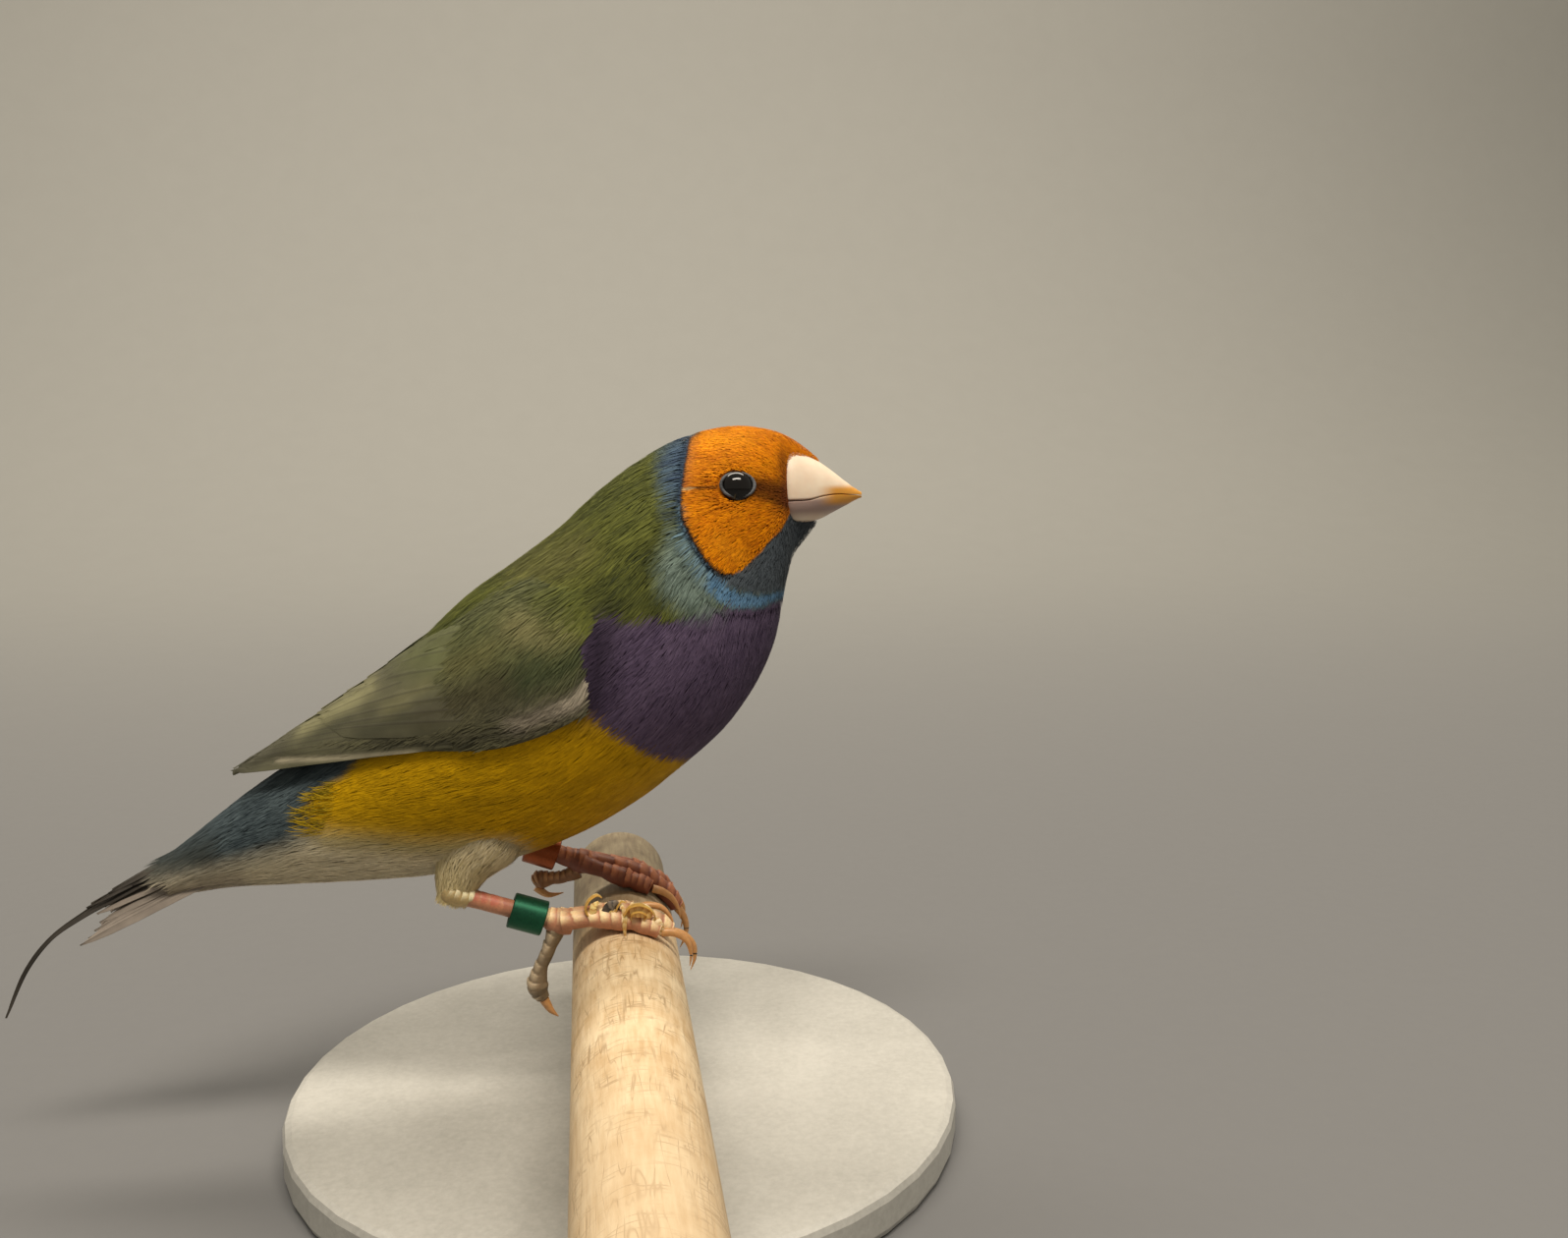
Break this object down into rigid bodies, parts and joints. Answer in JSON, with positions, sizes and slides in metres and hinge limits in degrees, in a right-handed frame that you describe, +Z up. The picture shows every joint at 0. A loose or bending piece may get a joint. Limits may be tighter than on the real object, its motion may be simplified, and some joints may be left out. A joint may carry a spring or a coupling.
{
  "type": "gouldian finch",
  "caption": "Male orange-headed gouldian finch with leg rings, standing on a cut length of wooden perch on a plain stand.",
  "frame": {"origin": "centre of the stand base's underside, straight below the top line of the perch at the bird's middle plane", "axes": "+Z up, +X the way the bird faces, +Y to the bird's left along the perch"},
  "size_m": [0.1329, 0.138, 0.1008],
  "materials": {
    "head_feathers": "short orange face feathers with a thin black edge, dark grey throat",
    "neck_feathers": "olive green feathers with a blue band behind the mask",
    "breast_feathers": "purple breast, yellow belly and flanks, olive green back",
    "rump_feathers": "blue-grey rump, off-white under the tail",
    "wing_feathers": "olive brown flight feathers and coverts with paler tips",
    "dark_tail_feathers": "black-brown middle feathers",
    "pale_tail_feathers": "pale grey-brown outer feathers",
    "thigh_feathers": "off-white downy feathers",
    "eye": "glossy, near black",
    "bill_horn": "pale ivory horn with an orange tip",
    "claw_horn": "yellow-brown horn",
    "leg_skin": "pink-orange scaled skin",
    "green_ring": "anodised dark green closed band",
    "orange_ring": "anodised orange-brown closed band",
    "perch_wood": "bare, worn round rod",
    "stand_base": "plain pale disc, honed",
    "stand_rod": "brushed"
  },
  "bodies": {
    "root": {"head": "head_feathers", "neck": "neck_feathers", "torso": "breast_feathers", "rump": "rump_feathers", "wing_right": "wing_feathers", "wing_left": "wing_feathers", "tail_middle": "dark_tail_feathers", "tail_right": "pale_tail_feathers", "tail_left": "pale_tail_feathers", "thigh_right": "thigh_feathers", "thigh_left": "thigh_feathers", "eye_right": "eye", "eye_left": "eye", "bill_upper": "bill_horn", "bill_lower": "bill_horn", "shank_right": "leg_skin", "shank_left": "leg_skin", "foot_right": "leg_skin", "foot_left": "leg_skin", "claw_inner_right": "claw_horn", "claw_middle_right": "claw_horn", "claw_outer_right": "claw_horn", "claw_hind_right": "claw_horn", "claw_inner_left": "claw_horn", "claw_middle_left": "claw_horn", "claw_outer_left": "claw_horn", "claw_hind_left": "claw_horn", "leg_ring_right": "green_ring", "leg_ring_left": "orange_ring", "perch": "perch_wood", "stand_base": "stand_base", "stand_rod_1": "stand_rod", "stand_rod_2": "stand_rod"}
  },
  "joints": []
}
